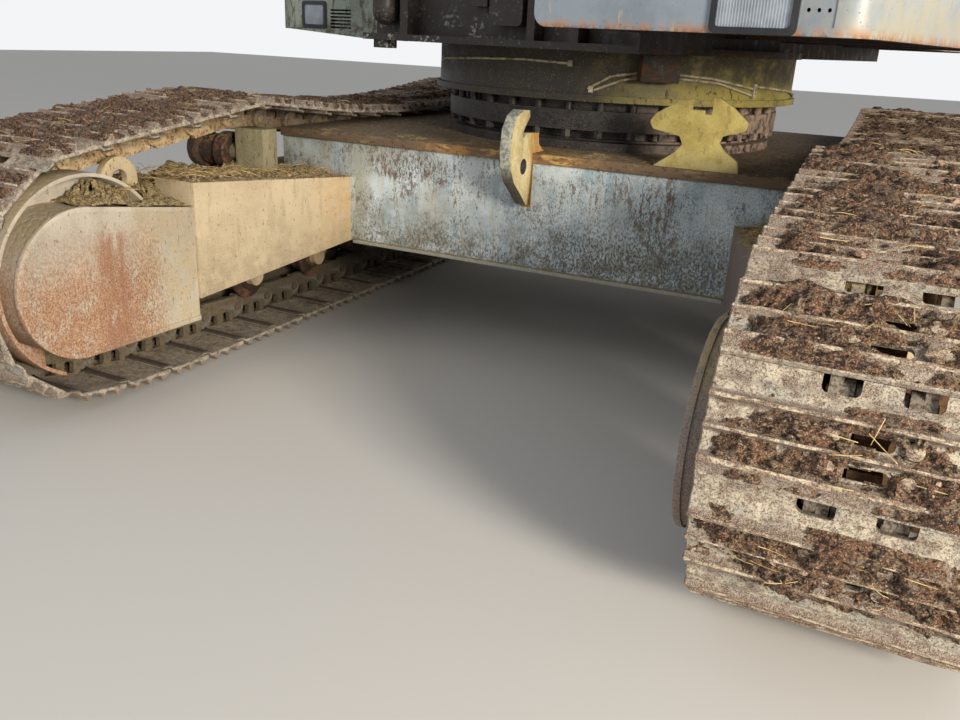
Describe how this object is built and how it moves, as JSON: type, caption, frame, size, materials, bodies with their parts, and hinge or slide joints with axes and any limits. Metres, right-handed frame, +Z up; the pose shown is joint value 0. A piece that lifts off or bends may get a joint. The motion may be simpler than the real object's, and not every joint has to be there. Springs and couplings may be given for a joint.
{
  "type": "crawler excavator undercarriage with slewing platform frame",
  "caption": "Excavator undercarriage on steel crawler tracks, with cross beam, slewing ring and the slewing platform's frame.",
  "frame": {"origin": "on the ground under the slewing axis", "axes": "+X across the machine towards the track on the right of the picture, +Y along the tracks from the sprockets to the idlers, +Z up along the slewing axis"},
  "size_m": [3.28, 5.0572, 1.919],
  "materials": {
    "cream_paint": "worn cream yellow paint, rust",
    "far_panel_paint": "grey-green paint",
    "frame_paint": "flaking pale blue-grey paint over rust",
    "lens": "clear lens",
    "machined_steel": "dark greasy steel",
    "panel_paint": "white paint, rusty lower edge",
    "pipe": "painted pipe",
    "platform_paint": "dark greasy paint",
    "roller_steel": "rusty forged steel",
    "track_frame_paint": "cream paint under dried mud, rust streaks",
    "track_steel": "rusty, muddy steel",
    "yellow_paint": "worn olive yellow paint"
  },
  "bodies": {
    "undercarriage": {"centre_frame": "frame_paint", "centre_top_plate": "frame_paint", "ring_seat": "platform_paint", "inner_race": "machined_steel", "swivel_joint": "machined_steel", "slew_lock_plate": "yellow_paint", "tow_lug_rear": "cream_paint", "tow_lug_front": "cream_paint", "track_frame_left": "track_frame_paint", "track_frame_right": "track_frame_paint", "motor_guard_left": "track_frame_paint", "motor_guard_right": "track_frame_paint", "final_drive_left": "track_frame_paint", "final_drive_right": "track_frame_paint", "sprocket_left": "track_steel", "sprocket_right": "track_steel", "idler_left": "roller_steel", "idler_right": "roller_steel", "idler_yoke_left": "track_frame_paint", "idler_yoke_right": "track_frame_paint", "carrier_rollers_left": "roller_steel", "carrier_rollers_right": "roller_steel", "carrier_brackets_left": "track_frame_paint", "carrier_brackets_right": "track_frame_paint", "track_rollers_left": "roller_steel", "track_rollers_right": "roller_steel", "roller_mounts_left": "track_frame_paint", "roller_mounts_right": "track_frame_paint", "track_left": "track_steel", "track_right": "track_steel"},
    "platform": {"outer_race": "machined_steel", "ring_bolt_rows": "machined_steel", "turntable_drum": "platform_paint", "platform_centre": "platform_paint", "boom_foot": "platform_paint", "platform_side_left": "platform_paint", "platform_side_right": "platform_paint", "front_panel_left": "far_panel_paint", "front_panel_right": "panel_paint", "deck_left": "platform_paint", "deck_right": "platform_paint", "lamps": "lens", "slew_drive": "machined_steel", "slew_lock_bracket": "platform_paint", "grease_lines": "pipe"}
  },
  "joints": [
    {"name": "slew", "type": "hinge", "parent": "undercarriage", "child": "platform", "pos_m": [0, 0, 1], "axis": [0, 0, 1], "continuous": true}
  ]
}
